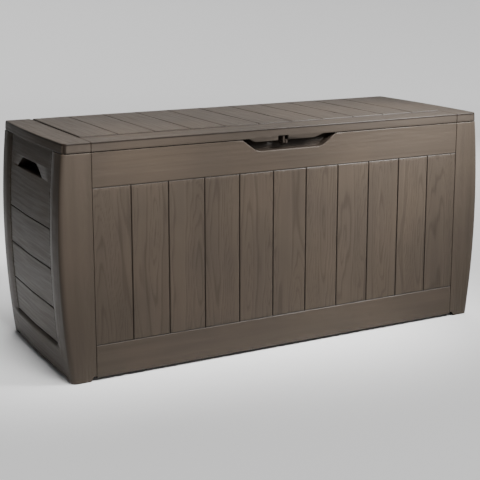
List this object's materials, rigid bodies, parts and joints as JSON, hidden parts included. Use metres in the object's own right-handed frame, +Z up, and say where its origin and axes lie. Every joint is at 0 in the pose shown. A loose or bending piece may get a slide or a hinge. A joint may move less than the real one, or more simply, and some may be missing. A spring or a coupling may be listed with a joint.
{
  "type": "deck storage box",
  "caption": "Long resin deck storage box with wood-plank pattern walls, bowed ends with hand grips, and a rear-hinged plank-pattern lid held open by slotted stays.",
  "frame": {"origin": "on the ground under the middle of the box, midway between front and back and between the two ends", "axes": "+Z up; +X along the length, towards the right end seen from the front; -Y is the front, where the padlock ears are"},
  "size_m": [1.1888, 0.45, 0.5605],
  "materials": {
    "panel_resin": "satin, embossed wood grain",
    "end_resin": "satin, embossed wood grain",
    "lid_resin": "satin, embossed wood grain",
    "dark_resin": "plain moulded",
    "zinc_steel": "zinc plated"
  },
  "bodies": {
    "root": {"base_tray": "dark_resin", "front_panel": "panel_resin", "back_panel": "panel_resin", "left_end_panel": "end_resin", "right_end_panel": "end_resin", "body_padlock_ear": "dark_resin", "left_stay_stud": "zinc_steel", "right_stay_stud": "zinc_steel", "left_hinge_bracket": "dark_resin", "left_hinge_screw_a": "zinc_steel", "left_hinge_screw_b": "zinc_steel", "centre_hinge_bracket": "dark_resin", "centre_hinge_screw_a": "zinc_steel", "centre_hinge_screw_b": "zinc_steel", "right_hinge_bracket": "dark_resin", "right_hinge_screw_a": "zinc_steel", "right_hinge_screw_b": "zinc_steel"},
    "lid": {"lid_shell": "lid_resin", "lid_padlock_ear": "dark_resin", "left_hinge_pin": "zinc_steel", "centre_hinge_pin": "zinc_steel", "right_hinge_pin": "zinc_steel", "left_stay_bracket": "dark_resin", "right_stay_bracket": "dark_resin", "left_stay_pivot_pin": "zinc_steel", "right_stay_pivot_pin": "zinc_steel"},
    "left_stay": {"left_stay_arm": "dark_resin"},
    "right_stay": {"right_stay_arm": "dark_resin"}
  },
  "joints": [
    {"name": "lid_hinge", "type": "hinge", "parent": "root", "child": "lid", "pos_m": [0, 0.212, 0.5465], "axis": [-1, 0, 0], "range_deg": [0, 100]},
    {"name": "left_stay_pivot", "type": "hinge", "parent": "lid", "child": "left_stay", "pos_m": [-0.55, 0.055, 0.525], "axis": [-1, 0, 0], "range_deg": [-50, 0]},
    {"name": "right_stay_pivot", "type": "hinge", "parent": "lid", "child": "right_stay", "pos_m": [0.55, 0.055, 0.525], "axis": [-1, 0, 0], "range_deg": [-50, 0]}
  ],
  "couplings": [
    {"joint": "left_stay_pivot", "follows": "lid_hinge", "ratio": -0.5},
    {"joint": "right_stay_pivot", "follows": "lid_hinge", "ratio": -0.5}
  ]
}
